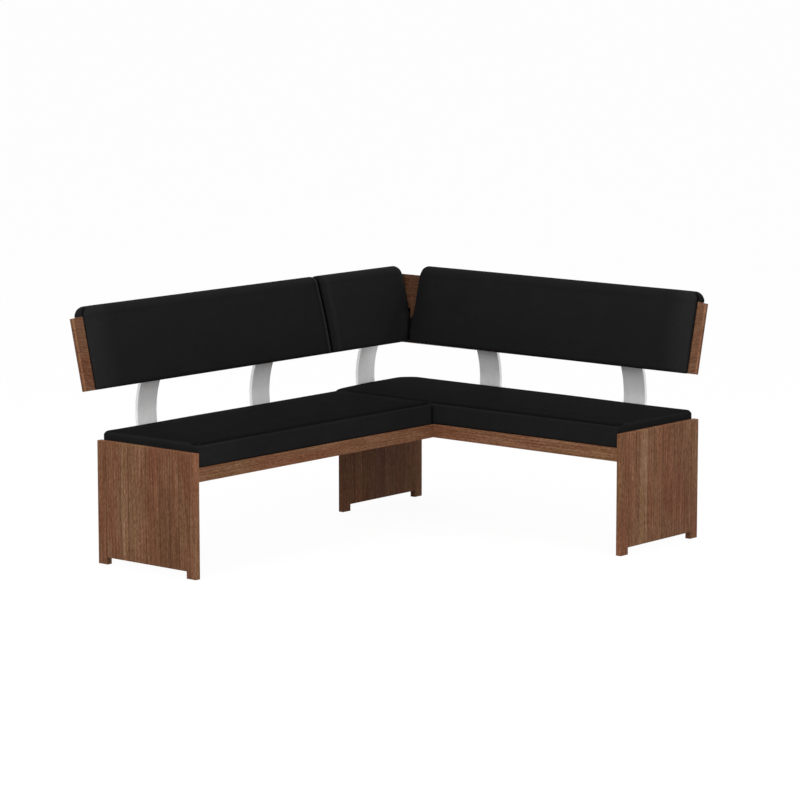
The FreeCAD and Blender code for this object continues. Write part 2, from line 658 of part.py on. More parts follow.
def bracket(label, arm, middle):
    low_x = middle - size("bracket_width") / 2
    flange = doc.addObject("Part::Box", f"{label}_flange")
    flange.setExpression("Length", "Sizes.bracket_width")
    flange.setExpression("Width", "Sizes.flange_length")
    flange.setExpression("Height", "Sizes.bracket_thickness")
    corner = Vector(low_x, place("bend_y") - size("flange_length"), place("flange_low"))
    flange.Placement = arm.upright.multiply(Placement(corner, Rotation()))
    low_bend = sector(f"{label}_low_bend", arm, low_x, "Places.bend_y", "Places.bend_z",
                      "Sizes.bend_radius", "0", "90 - Places.curve_drop")
    curve = sector(f"{label}_curve", arm, low_x, "Places.curve_y", "Places.curve_z",
                   "Places.curve_radius", "90 - Places.curve_drop",
                   "Places.curve_drop + Sizes.bracket_lean")
    top_bend = sector(f"{label}_top_bend", arm, low_x, "Places.top_bend_y",
                      "Places.top_bend_z", "Sizes.top_bend_radius",
                      "270 - Sizes.back_tilt", "Sizes.back_tilt + Sizes.bracket_lean")
    plate = doc.addObject("Part::Box", f"{label}_plate")
    plate.setExpression("Length", "Sizes.bracket_width")
    plate.setExpression("Width", "Sizes.bracket_thickness")
    plate.setExpression("Height", "Sizes.plate_length")
    foot = Vector(low_x, 0, place("plate_start"))
    plate.Placement = arm.tilted.multiply(Placement(foot, Rotation()))
    bar = doc.addObject("Part::MultiFuse", f"{label}_bar")
    bar.Shapes = [flange, low_bend, curve, top_bend, plate]
    bar.Refine = True
    keep(label, cut(label, bar, seat_bolt_holes, back_screw_holes))


for label, arm, middle in BRACKETS:
    bracket(label, arm, middle)


# Backrests: a rear board, two rails, cheeks and a front panel make a shallow box.
def behind_plane(name, arm, off, reach):
    """A large block that fills what lies behind a plane of an arm's backrest."""
    box = doc.addObject("Part::Box", name)
    box.Length = reach
    box.Width = reach
    box.Height = reach
    corner = Vector(-reach / 2, -number(off), -reach / 2)
    box.Placement = arm.tilted.multiply(Placement(corner, Rotation()))
    return box


def backrest(prefix, arm, x_low, x_high, cheeks, board_high=None, board_tool=None, trims=None):
    """One backrest; cheeks says which ends have one.

    The rear board may have a high end of its own and a tool that trims it, and trims
    lists the tools of each piece of the core that they trim."""
    board_high = board_high or x_high
    trims = trims or {}
    board = "Sizes.back_board_thickness"
    panel_back = "Places.frame_front - Sizes.front_panel_thickness"
    height = "Sizes.back_height"
    rail = "Sizes.back_rail_height"
    cheek = "Sizes.cheek_thickness"
    inner_low = f"{x_low} + {cheek}" if "low" in cheeks else x_low
    inner_high = f"{x_high} - {cheek}" if "high" in cheeks else x_high
    rear = back_block(f"{prefix}_rear_board_blank", arm, x_low, board_high,
                      "0", board, "0", height)
    board_tools = [back_screw_holes] + ([board_tool] if board_tool else [])
    keep(f"{prefix}_rear_board", cut(f"{prefix}_rear_board", rear, *board_tools))
    rows = [
        ("lower_rail", inner_low, inner_high, board, panel_back, "0", rail),
        ("upper_rail", inner_low, inner_high, board, panel_back, f"{height} - {rail}", height),
        ("front_panel", inner_low, inner_high, panel_back, "Places.frame_front", "0", height),
    ]
    if "low" in cheeks:
        rows.append(("cheek_a", x_low, inner_low, board, "Places.frame_front", "0", height))
    if "high" in cheeks:
        rows.append(("cheek_b", inner_high, x_high, board, "Places.frame_front", "0", height))
    for word, x_from, x_to, off_from, off_to, rise_from, rise_to in rows:
        name = f"{prefix}_{word}"
        trimmed = trims.get(word, ())
        blank = back_block(f"{name}_blank" if trimmed else name, arm,
                           x_from, x_to, off_from, off_to, rise_from, rise_to)
        keep(name, cut(name, blank, *trimmed))


# Where the arms meet, the short rear board runs past the corner board's end, and the
# short core fills the corner beside the corner backrest down to where it leans over it.
trim_reach = size("long_arm") + size("short_arm")
past_corner = "Sizes.short_back_inset + Places.joint_lean"
rear_trim = behind_plane("rear_trim", LONG, "0", trim_reach)
board_trim = behind_plane("board_trim", LONG, "Sizes.back_board_thickness", trim_reach)
foot_trim = behind_plane("foot_trim", LONG, "Places.pad_plane + Sizes.corner_room", trim_reach)
corner_board_trim = behind_plane("corner_board_trim", SHORT, "Sizes.back_board_thickness",
                                 trim_reach)
beside_trim = back_block("beside_trim", LONG, "-Sizes.long_arm",
                         "Sizes.corner_play - Places.corner_back_start",
                         "0", "Places.pad_plane + Sizes.corner_room",
                         "-Sizes.back_height", "2 * Sizes.back_height")
backrest("long_back", LONG, "-Sizes.long_arm", "-Places.corner_back_end - Sizes.back_gap",
         ("low", "high"))
backrest("corner_back", LONG, "-Places.corner_back_end", "-Places.corner_back_start",
         ("low", "high"), past_corner, corner_board_trim)
backrest("short_back", SHORT, "-Sizes.long_back_outset - Places.back_lean - Sizes.back_height",
         "Sizes.short_arm", ("high",), None, rear_trim,
         {
             "lower_rail": (foot_trim,),
             "upper_rail": (board_trim,),
             "front_panel": (board_trim, beside_trim),
         })


# Back cushions: a hood over the frame's top and a crowned front, lofted end to end.
def arc(a, b, c):
    return Part.Arc(a, b, c).toShape()


def line(a, b):
    return Part.makeLine(a, b)


def ease(distance, run):
    """Rises from 0 at an end to 1 after the run, like a quarter of a circle."""
    left = max(0.0, 1.0 - distance / run)
    return math.sqrt(1.0 - left * left)


# Proportions of a back cushion's outline. Off is a share of the hood's depth, rise a
# share of the hood's height, swell a share of what the cushion stands ahead of the frame.
HOOD = {"shoulder_rise": 0.45, "bow_off": 0.14, "bow_rise": 0.84, "crest_off": 0.46,
        "front_bow_off": 0.86, "front_bow_drop": 0.22, "front_swell": 0.93}
FOOT = {"front_swell": 0.8, "front_rise": 0.6, "bow_swell": 0.62, "bow_rise": 0.18,
        "edge_swell": 0.3}
STATION_SHARES = (0.0, 0.02, 0.08, 0.2, 0.45, 1.0)


def hood_section(x, swell, top):
    """The closed outline of a back cushion across its length."""
    gap = size("soft_gap")
    core = place("frame_front") + gap
    rear = size("back_board_thickness") + gap
    under = size("back_height") + gap
    rise = top - under
    depth = core + swell - rear
    edge = size("pad_edge")

    def at(off, height):
        return Vector(x, -off, height)

    rear_foot = at(rear, under)
    rear_shoulder = at(rear, under + HOOD["shoulder_rise"] * rise)
    rear_bow = at(rear + HOOD["bow_off"] * depth, under + HOOD["bow_rise"] * rise)
    crest = at(rear + HOOD["crest_off"] * depth, top)
    front_bow = at(rear + HOOD["front_bow_off"] * depth,
                   top - HOOD["front_bow_drop"] * (rise + 2 * edge))
    front_shoulder = at(core + HOOD["front_swell"] * swell, under - edge)
    belly = at(core + swell, size("back_height") / 2)
    lower_front = at(core + FOOT["front_swell"] * swell, FOOT["front_rise"] * swell + edge / 2)
    lower_bow = at(core + FOOT["bow_swell"] * swell, FOOT["bow_rise"] * swell + edge / 8)
    lower_edge = at(core + FOOT["edge_swell"] * swell, 0)
    lower_rear = at(core, 0)
    inner_corner = at(core, under)
    return Part.Wire([
        line(inner_corner, rear_foot),
        line(rear_foot, rear_shoulder),
        arc(rear_shoulder, rear_bow, crest),
        arc(crest, front_bow, front_shoulder),
        arc(front_shoulder, belly, lower_front),
        arc(lower_front, lower_bow, lower_edge),
        line(lower_edge, lower_rear),
        line(lower_rear, inner_corner),
    ])


def back_cushion(label, arm, x_low, x_high, low_end, high_end):
    """Lofted through stations that lie close together near both ends.

    Each end is free, a joint with another cushion in line, or at the corner."""
    x_low = number(x_low)
    x_high = number(x_high)
    crown = size("pad_crown_run")
    stations = [x_low + crown * share for share in STATION_SHARES]
    stations += [x_high - crown * share for share in reversed(STATION_SHARES)]
    full_top = size("back_height") + size("pad_top")
    sections = []
    for x in stations:
        near = min(x - x_low, x_high - x)
        end = low_end if x - x_low < x_high - x else high_end
        in_line = end == "joint"
        end_top = size("back_height") + size("pad_joint_top" if in_line else "pad_end_top")
        run = size("pad_joint_run" if in_line else "pad_round_run")
        top = end_top + (full_top - end_top) * ease(near, run)
        end_swell = size("pad_end_front" if end == "free" else "pad_joint_front")
        swell = end_swell + (size("pad_front") - end_swell) * ease(near, crown)
        sections.append(hood_section(x, swell, top))
    cushion = doc.addObject("Part::Feature", label)
    cushion.Shape = Part.makeLoft(sections, True, True)
    cushion.Placement = arm.tilted
    keep(label, cushion)


back_cushion("long_back_cushion", LONG, "-Sizes.long_arm",
             "-Places.corner_back_end - Sizes.back_gap", "free", "joint")
back_cushion("corner_back_cushion", LONG, "-Places.corner_back_end",
             "-Places.corner_back_start", "joint", "corner")
back_cushion("short_back_cushion", SHORT, "Places.pad_start", "Sizes.short_arm", "corner", "free")


# Seat cushions: level outlines with drawn-in sides, stacked up to a crowned top.
# A corner's radius shrinks with this share of the inset, down to the least radius.
CORNER_EASE = 0.3
MIN_CORNER = 2.0
# Below the crease: height under it in crease widths, inset in crease depths.
CREASE_LEVELS = ((1.6, 0.0), (1.0, 0.2), (0.5, 1.0), (0.0, 0.6))
# Above the crease: share of the crown's height, inset in crease depths.
CROWN_LEVELS = ((0.25, 2.4), (0.6, 8.0), (0.88, 18.0), (1.0, 32.0))


def cushion_outline(low, high, radii, inset, z):
    """A level outline in bench coordinates: four sides drawn in, four round corners.

    The radii follow the corners from low u, low v towards high u."""
    u_low, v_low = low[0] + inset, low[1] + inset
    u_high, v_high = high[0] - inset, high[1] - inset
    draw = size("cushion_draw")
    corners = [(u_low, v_low), (u_high, v_low), (u_high, v_high), (u_low, v_high)]
    steps = [(1, 0), (0, 1), (-1, 0), (0, -1)]
    edges = []
    for k in range(4):
        (u, v), (du, dv) = corners[k], steps[k]
        (u_next, v_next) = corners[(k + 1) % 4]
        du_next, dv_next = steps[(k + 1) % 4]
        start_radius = max(radii[k] - CORNER_EASE * inset, MIN_CORNER)
        end_radius = max(radii[(k + 1) % 4] - CORNER_EASE * inset, MIN_CORNER)
        begin = (u + du * start_radius, v + dv * start_radius)
        stop = (u_next - du * end_radius, v_next - dv * end_radius)
        inward = (-dv, du)
        middle = ((begin[0] + stop[0]) / 2 + inward[0] * draw,
                  (begin[1] + stop[1]) / 2 + inward[1] * draw)
        edges.append(arc(bench_point(*begin, z), bench_point(*middle, z), bench_point(*stop, z)))
        bow = end_radius * (1 - math.sqrt(0.5))
        through = (u_next - du * bow + du_next * bow, v_next - dv * bow + dv_next * bow)
        leave = (u_next + du_next * end_radius, v_next + dv_next * end_radius)
        edges.append(arc(bench_point(*stop, z), bench_point(*through, z), bench_point(*leave, z)))
    return Part.Wire(edges)


def seat_cushion(label, low, high, radii):
    """Bottom, upright sides, the sewn crease and the crown, one outline above another."""
    base = size("rail_top") + size("soft_gap")
    crease = base + size("cushion_edge")
    depth = size("crease_depth")
    width = size("crease_width")
    crown = size("cushion_crown")
    draw = size("cushion_draw")
    levels = [(base, draw), (base + 2 * draw, 0.0)]
    levels += [(crease - drop * width, inset * depth) for drop, inset in CREASE_LEVELS]
    levels += [(crease + rise * crown, inset * depth) for rise, inset in CROWN_LEVELS]
    wires = [cushion_outline(low, high, radii, inset, z) for z, inset in levels]
    cushion = doc.addObject("Part::Feature", label)
    cushion.Shape = Part.makeLoft(wires, True, True)
    keep(label, cushion)


gap = size("soft_gap")
small_corner = size("cushion_corner")
big_corner = size("cushion_big_corner")
seat_cushion("long_seat_cushion",
             (size("seat_depth") + gap, size("cushion_rear_gap")),
             (place("long_inner") - gap, size("seat_depth") - gap),
             (small_corner, small_corner, small_corner, small_corner))
seat_cushion("short_seat_cushion",
             (size("cushion_rear_gap"), -size("cushion_overhang")),
             (size("seat_depth") - gap, place("short_inner") - gap),
             (big_corner, big_corner, small_corner, small_corner))

doc.recompute()


def check_model():
    """Stops before anything is written if an object or a sub-part is unsound."""
    for item in doc.Objects:
        bad = [state for state in item.State if state in ("Invalid", "Error")]
        if bad:
            raise RuntimeError(f"{item.Name} is {bad}")
    for label, item in nodes.items():
        shape = item.Shape
        if shape.isNull() or not shape.isValid() or not shape.Solids:
            raise RuntimeError(f"{label} has no valid solid")


def write_parts():
    os.makedirs("parts", exist_ok=True)
    box = FreeCAD.BoundBox()
    for label, item in nodes.items():
        item.Shape.exportStep(os.path.join("parts", f"{label}.step"))
        box.add(item.Shape.BoundBox)
    print(len(nodes), "sub-parts, box", [round(v, 1) for v in
          (box.XMin, box.XMax, box.YMin, box.YMax, box.ZMin, box.ZMax)])


check_model()
write_parts()
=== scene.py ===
"""Looks of the corner bench: five sewn cushions, and walnut, plywood, beech and metal.

Everything is in metres in the row's frame. U runs along the long arm and V along the short
arm, both from the rear corner where the arms' rear edges meet."""

import json
import math
from functools import cache
from itertools import accumulate

import bmesh
import bpy
import numpy as np
from mathutils import Matrix, Vector
from mathutils.kdtree import KDTree


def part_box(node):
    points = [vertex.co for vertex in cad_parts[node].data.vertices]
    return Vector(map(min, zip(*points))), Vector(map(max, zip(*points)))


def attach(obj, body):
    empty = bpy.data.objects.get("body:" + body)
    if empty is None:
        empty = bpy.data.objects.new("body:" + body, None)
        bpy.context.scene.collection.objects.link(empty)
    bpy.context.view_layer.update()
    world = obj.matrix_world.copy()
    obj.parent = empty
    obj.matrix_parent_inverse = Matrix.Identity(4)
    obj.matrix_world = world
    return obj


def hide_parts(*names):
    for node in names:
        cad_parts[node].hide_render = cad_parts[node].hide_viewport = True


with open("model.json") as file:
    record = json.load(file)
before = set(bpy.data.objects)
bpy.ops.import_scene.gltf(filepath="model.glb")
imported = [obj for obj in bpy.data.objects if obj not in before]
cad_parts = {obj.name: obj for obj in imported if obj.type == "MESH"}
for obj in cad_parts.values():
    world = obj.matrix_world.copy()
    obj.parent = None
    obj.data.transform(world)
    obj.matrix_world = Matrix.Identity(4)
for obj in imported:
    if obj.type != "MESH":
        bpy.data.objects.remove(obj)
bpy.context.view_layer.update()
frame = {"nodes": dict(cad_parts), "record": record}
nodes = frame["nodes"]
slots = {part["node"]: part["material_slot"] for part in frame["record"]["subparts"]}
scene = bpy.context.scene

# Where U and V start, and the front faces of the two seats.
CORNER_X = 0.83232
CORNER_Y = 0.59027
SEAT_DEPTH = 0.460
LONG_FRONT = CORNER_Y - SEAT_DEPTH
SHORT_FRONT = CORNER_X - SEAT_DEPTH

# The backrests: lower rear edge, height of the boards, and how far the faces of the rear
# board and of the core lie ahead of the rear face, each with its clearance.
BACK_BOTTOM = 0.590
BACK_HEIGHT = 0.255
BOARD_FRONT = 0.0213
CORE_FRONT = 0.0633
TILT = Matrix.Rotation(math.radians(-13), 4, "X")
LONG_BACK = Matrix.Translation((CORNER_X, CORNER_Y + 0.069, BACK_BOTTOM)) @ TILT
SHORT_BACK = (Matrix.Translation((CORNER_X - 0.006, CORNER_Y, BACK_BOTTOM))
              @ Matrix.Rotation(math.radians(-90), 4, "Z") @ TILT)


# Node trees.
class Nodes:
    """A node tree, built node by node."""

    def __init__(self, tree):
        self.tree = tree
        self.tree.nodes.clear()

    def put(self, node, name, value):
        socket = node.inputs[name]
        if isinstance(value, bpy.types.NodeSocket):
            self.tree.links.new(value, socket)
        else:
            socket.default_value = value

    def add(self, kind, inputs=None, **settings):
        node = self.tree.nodes.new(kind)
        for name, value in settings.items():
            setattr(node, name, value)
        for name, value in (inputs or {}).items():
            self.put(node, name, value)
        return node

    def math(self, operation, a, b=0.0, c=0.0):
        return self.add("ShaderNodeMath", {0: a, 1: b, 2: c}, operation=operation).outputs[0]

    def backdrop_rays(self):
        """1 for the rays that see the white background, and 0 for those that light."""
        path = self.add("ShaderNodeLightPath").outputs
        seen = self.math("MAXIMUM", path["Is Camera Ray"], path["Is Glossy Ray"])
        return self.math("MAXIMUM", seen, path["Is Transmission Ray"])

    def blend(self, share, first, second):
        """A mix of two shader nodes."""
        return self.add("ShaderNodeMixShader", {0: share, 1: first.outputs[0],
                                                2: second.outputs[0]}).outputs[0]


class Look(Nodes):
    """A material with a Principled surface."""

    def __init__(self, name):
        self.material = bpy.data.materials.new(name)
        self.material.use_nodes = True
        super().__init__(self.material.node_tree)
        self.surface = self.add("ShaderNodeBsdfPrincipled")
        self.out = self.add("ShaderNodeOutputMaterial", {"Surface": self.surface.outputs[0]})
        self.place = self.add("ShaderNodeTexCoord").outputs["Object"]

    def split(self, vector):
        return self.add("ShaderNodeSeparateXYZ", {0: vector}).outputs

    def join(self, x, y, z):
        return self.add("ShaderNodeCombineXYZ", {0: x, 1: y, 2: z}).outputs[0]

    def grey(self, value):
        return self.join(value, value, value)

    def stretch(self, vector, factors):
        return self.add("ShaderNodeVectorMath", {0: vector, 1: factors},
                        operation="MULTIPLY").outputs[0]

    def noise(self, vector, scale, detail=2.0, rough=0.5, distort=0.0):
        return self.add("ShaderNodeTexNoise",
                        {"Vector": vector, "Scale": scale, "Detail": detail,
                         "Roughness": rough, "Distortion": distort}).outputs["Fac"]

    def span(self, value, low, high, to_low=0.0, to_high=1.0, smooth=False):
        kind = "SMOOTHSTEP" if smooth else "LINEAR"
        node = self.add("ShaderNodeMapRange",
                        {"Value": value, "From Min": low, "From Max": high,
                         "To Min": to_low, "To Max": to_high}, interpolation_type=kind)
        return node.outputs["Result"]

    def ramp(self, value, stops, interpolation="LINEAR"):
        node = self.add("ShaderNodeValToRGB", {"Fac": value})
        node.color_ramp.interpolation = interpolation
        elements = node.color_ramp.elements
        while len(elements) < len(stops):
            elements.new(1.0)
        for element, (position, color) in zip(elements, stops):
            element.position = position
            element.color = (*color, 1.0)
        return node.outputs["Color"]

    def along(self, normal):
        return self.add("ShaderNodeVectorMath", {0: self.place, 1: normal},
                        operation="DOT_PRODUCT").outputs["Value"]

    def marks(self, marks, shade):
        """Tone factors by place, mostly painted light and shade: ("step", normal, from, to,
        tone) or ("band", normal, middle, half width, tone). A last item (normal, from, to)
        says where along another direction the mark fades in."""
        for kind, normal, first, second, tone, *fade in marks:
            reach = self.along(normal)
            if kind == "band":
                reach = self.math("ABSOLUTE", self.math("SUBTRACT", reach, first))
                factor = self.span(reach, second * 0.4, second, tone, 1.0, True)
            else:
                factor = self.span(reach, first, second, 1.0, tone, True)
            if fade:
                other, low, high = fade[0]
                share = self.span(self.along(other), low, high, 0.0, 1.0, True)
                factor = self.math("MULTIPLY_ADD", self.math("SUBTRACT", factor, 1.0), share, 1.0)
            shade = self.math("MULTIPLY", shade, factor)
        return shade

    def mix(self, factor, a, b, blend="MIX"):
        return self.add("ShaderNodeMix", {0: factor, 6: a, 7: b}, data_type="RGBA",
                        blend_type=blend).outputs[2]

    def bump(self, height, strength, distance, after=None):
        inputs = {"Height": height, "Strength": strength, "Distance": distance}
        if after is not None:
            inputs["Normal"] = after
        return self.add("ShaderNodeBump", inputs).outputs[0]

    def finish(self, **inputs):
        for name, value in inputs.items():
            self.put(self.surface, name.replace("_", " "), value)
        return self.material


AXES = {"x": 0, "y": 1, "z": 2}

# Walnut: growth rings in a metre, and the dark glue lines between the strips.
RINGS = 130.0
SEAM_WIDTHS = (0.0006, 0.0022)
SEAM_DEPTH = 0.75
SEAM_COLOR = (0.06, 0.026, 0.014, 1.0)


def walnut(name, along, across, strips, seed, tone, marks):
    """Satin walnut. Grain runs along one axis and the glued strips lie side by side across
    another; strips lists (width in mm, tone) from the low end, after its starting place."""
    look = Look(name)
    xyz = look.split(look.place)
    grain = xyz[AXES[along]]
    side = xyz[AXES[across]]
    depth = xyz[3 - AXES[along] - AXES[across]]
    start, rows = strips
    ends = [0.0, *accumulate(width for width, _ in rows)]
    # A ramp holds no colour above 1, so it carries half of each strip's tone.
    stops = [(end / ends[-1], (strip_tone / 2,) * 3) for end, (_, strip_tone) in zip(ends, rows)]
    share = look.span(side, start, start + ends[-1] / 1000)
    strip = look.math("MULTIPLY", look.split(look.ramp(share, stops, "CONSTANT"))[0], 2.0)
    shift = look.math("MULTIPLY_ADD", strip, 31.7, seed)
    wobble = look.noise(look.join(look.math("MULTIPLY", grain, 2.2),
                                  look.math("MULTIPLY_ADD", side, 9.0, shift),
                                  look.math("MULTIPLY", depth, 9.0)), 1.0, 2.0)
    bent = look.math("MULTIPLY_ADD", look.math("SUBTRACT", wobble, 0.5), 0.020, side)
    heart = look.math("MULTIPLY", look.math("SINE", look.math("MULTIPLY", shift, 5.3)), 0.06)
    off_heart = look.math("ADD", bent, heart)
    cone = look.math("MULTIPLY_ADD", grain, 0.014, look.math("ADD", depth, 0.035))
    radius = look.math("SQRT", look.math("ADD", look.math("MULTIPLY", off_heart, off_heart),
                                         look.math("MULTIPLY", cone, cone)))
    ring = look.math("FRACT", look.math("MULTIPLY", radius, RINGS))
    late = look.span(ring, 0.45, 0.97, 0.0, 1.0, True)

    def streaks(lengthwise, crosswise, detail, rough=0.6):
        return look.noise(look.join(look.math("MULTIPLY", grain, lengthwise),
                                    look.math("MULTIPLY_ADD", side, crosswise, shift),
                                    look.math("MULTIPLY", depth, crosswise)), 1.0, detail, rough)

    broad = streaks(5.0, 130.0, 3.0)
    dash = streaks(70.0, 260.0, 2.0)
    fine = streaks(22.0, 620.0, 2.0)
    pore = look.span(streaks(46.0, 1500.0, 1.0), 0.60, 0.72)
    cloud = streaks(4.0, 16.0, 2.0)
    figure = look.span(late, 0.0, 1.0, 1.05, 0.90)
    for value, swing in ((broad, 0.22), (dash, 0.31), (fine, 0.19), (cloud, 0.12)):
        figure = look.math("MULTIPLY", figure,
                           look.span(value, 0.3, 0.7, 1.0 - swing, 1.0 + swing))
    figure = look.math("MULTIPLY", figure, look.span(pore, 0.0, 1.0, 1.0, 0.66))
    # Dark streaks are redder and light ones greyer.
    streaked = look.join(figure, look.math("POWER", figure, 1.35), look.math("POWER", figure, 1.65))
    shade = look.marks(marks, tone)
    heartwood = look.ramp(look.span(strip, 0.9, 1.2), [
        (0.0, (0.128, 0.0555, 0.0300)), (0.35, (0.147, 0.0654, 0.0326)),
        (1.0, (0.186, 0.0925, 0.0486))])
    color = look.mix(1.0, heartwood, streaked, "MULTIPLY")
    color = look.mix(1.0, color, look.grey(shade), "MULTIPLY")
    hue = look.ramp(look.span(streaks(2.6, 11.0, 2.0), 0.35, 0.65),
                    [(0.0, (1.0, 0.88, 0.86)), (0.5, (0.98, 0.98, 0.98)), (1.0, (0.95, 1.0, 0.93))])
    color = look.mix(1.0, color, hue, "MULTIPLY")
    seam = 0.0
    for end in ends[1:-1]:
        off = look.math("ABSOLUTE", look.math("SUBTRACT", side, start + end / 1000))
        seam = look.math("MAXIMUM", seam, look.span(off, *SEAM_WIDTHS, 1.0, 0.0))
    color = look.mix(look.math("MULTIPLY", seam, SEAM_DEPTH), color, SEAM_COLOR)
    rough = look.math("MULTIPLY_ADD", fine, 0.16, 0.46)
    rough = look.math("MULTIPLY_ADD", pore, 0.12, rough)
    height = look.math("MULTIPLY_ADD", pore, -1.0, look.math("MULTIPLY", fine, 0.35))
    return look.finish(Base_Color=color, Roughness=rough, Specular_IOR_Level=0.08,
                       Normal=look.bump(height, 0.25, 0.0002))


def even_strips(start, width, count, seed):
    """Strips of nearly one width with tones that vary a little."""
    rng = np.random.default_rng(seed)
    rows = [(width * (0.8 + 0.4 * rng.random()), 0.94 + 0.12 * rng.random())
            for _ in range(count)]
    return start, rows


@cache
def beech(along):
    """Planed beech: straight grain with short dark flecks."""
    look = Look(f"beech_{along}")
    xyz = look.split(look.place)
    parts = [look.math("MULTIPLY", xyz[k], 12.0 if k == AXES[along] else 300.0) for k in range(3)]
    parts[0] = look.math("ADD", parts[0], 4.0 + AXES[along])
    fine = look.noise(look.join(*parts), 1.0, 3.0, 0.55)
    flecks = [look.math("MULTIPLY", xyz[k], 110.0 if k == AXES[along] else 1300.0)
              for k in range(3)]
    fleck = look.span(look.noise(look.join(*flecks), 1.0, 1.0), 0.64, 0.72)
    base = look.mix(look.span(fine, 0.3, 0.7), (0.38, 0.22, 0.12, 1.0), (0.52, 0.33, 0.19, 1.0))
    base = look.mix(look.math("MULTIPLY", fleck, 0.55), base, (0.20, 0.10, 0.05, 1.0))
    return look.finish(Base_Color=base, Roughness=look.math("MULTIPLY_ADD", fine, 0.15, 0.42),
                       Normal=look.bump(fine, 0.15, 0.0002))


@cache
def plywood(along):
    """Birch plywood: faces with long soft figure, edges in light and dark plies."""
    look = Look(f"plywood_{along}")
    xyz = look.split(look.place)
    parts = [look.math("MULTIPLY", xyz[k], 5.0 if k == AXES[along] else 60.0) for k in range(3)]
    figure = look.noise(look.join(*parts), 1.0, 4.0, 0.55, 0.6)
    plies = look.math("SINE", look.math("MULTIPLY", xyz[2], 2 * math.pi / 0.0028))
    ply = look.span(plies, -0.25, 0.25, 0.0, 1.0, True)
    base = look.mix(look.span(figure, 0.3, 0.7), (0.42, 0.27, 0.14, 1.0), (0.56, 0.40, 0.24, 1.0))
    base = look.mix(look.math("MULTIPLY", ply, 0.35), base, (0.27, 0.16, 0.08, 1.0))
    return look.finish(Base_Color=base, Roughness=look.math("MULTIPLY_ADD", figure, 0.12, 0.5),
                       Normal=look.bump(figure, 0.12, 0.0003))


@cache
def satin_bar(across):
    """Satin metal whose brush lines run along the bar, so they vary across it."""
    look = Look(f"satin_bar_{across}")
    xyz = look.split(look.place)
    parts = [look.math("MULTIPLY", xyz[k], 2600.0 if k == AXES[across] else 14.0)
             for k in range(3)]
    lines = look.noise(look.join(*parts), 1.0, 3.0, 0.6)
    smudge = look.noise(look.place, 38.0, 3.0, 0.6)
    tint = look.math("MULTIPLY", look.span(lines, 0.25, 0.75, 0.90, 1.06),
                     look.span(smudge, 0.3, 0.7, 0.97, 1.03))
    base = look.mix(1.0, (0.94, 0.94, 0.94, 1.0), look.grey(tint), "MULTIPLY")
    finish = look.math("MULTIPLY_ADD", look.math("SUBTRACT", lines, 0.5), 0.20, 0.38)
    finish = look.math("MULTIPLY_ADD", look.math("SUBTRACT", smudge, 0.5), 0.10, finish)
    return look.finish(Base_Color=base, Metallic=0.33, Roughness=finish,
                       Normal=look.bump(lines, 0.10, 0.0001))


@cache
def zinc():
    """Zinc plate with a faint spangle."""
    look = Look("zinc")
    cells = look.add("ShaderNodeTexVoronoi", {"Vector": look.place, "Scale": 900.0})
    spangle = look.split(cells.outputs["Color"])[0]
    base = look.mix(spangle, (0.40, 0.41, 0.43, 1.0), (0.52, 0.53, 0.54, 1.0))
    return look.finish(Base_Color=base, Metallic=1.0,
                       Roughness=look.math("MULTIPLY_ADD", spangle, 0.15, 0.28),
                       Normal=look.bump(cells.outputs["Distance"], 0.05, 0.0001))


def leatherette(name, tone, sheen, marks):
    """Matt black leatherette: pebble grain, fine pores and soft creasing."""
    look = Look(name)
    warped = look.add("ShaderNodeVectorMath", {
        0: look.place,
        1: look.add("ShaderNodeVectorMath", {
            0: look.add("ShaderNodeTexNoise", {"Vector": look.place, "Scale": 260.0})
            .outputs["Color"],
            1: (0.0011, 0.0011, 0.0011)}, operation="MULTIPLY").outputs[0]},
        operation="ADD").outputs[0]
    cells = look.add("ShaderNodeTexVoronoi",
                     {"Vector": warped, "Scale": 620.0, "Smoothness": 0.6},
                     feature="SMOOTH_F1").outputs["Distance"]
    pores = look.noise(look.place, 1900.0, 2.0, 0.5)
    cloud = look.noise(look.place, 11.0, 3.0, 0.55)
    folds = look.noise(look.stretch(look.place, (1.0, 1.0, 2.2)), 26.0, 4.0, 0.6, 0.8)
    base = look.mix(look.span(cloud, 0.3, 0.7), (0.0082, 0.0082, 0.0084, 1.0),
                    (0.0096, 0.0096, 0.0099, 1.0))
    base = look.mix(look.span(cells, 0.35, 0.75), base, (0.0062, 0.0062, 0.0064, 1.0))
    shade = look.marks(marks, look.span(folds, 0.3, 0.7, tone * 0.95, tone * 1.05))
    base = look.mix(1.0, base, look.grey(shade), "MULTIPLY")
    rough = look.math("MULTIPLY_ADD", cloud, 0.12, 0.60)
    rough = look.math("MULTIPLY_ADD", cells, 0.10, rough)
    coarse = look.bump(folds, 0.22, 0.0012)
    grain = look.math("MULTIPLY_ADD", pores, 0.25, look.math("MULTIPLY", cells, -1.0))
    return look.finish(Base_Color=base, Roughness=rough, Specular_IOR_Level=sheen,
                       Normal=look.bump(grain, 0.35, 0.0004, coarse))


# Finishes of the CAD nodes.
def dress(name, material):
    mesh = nodes[name].data
    mesh.materials.clear()
    mesh.materials.append(material)


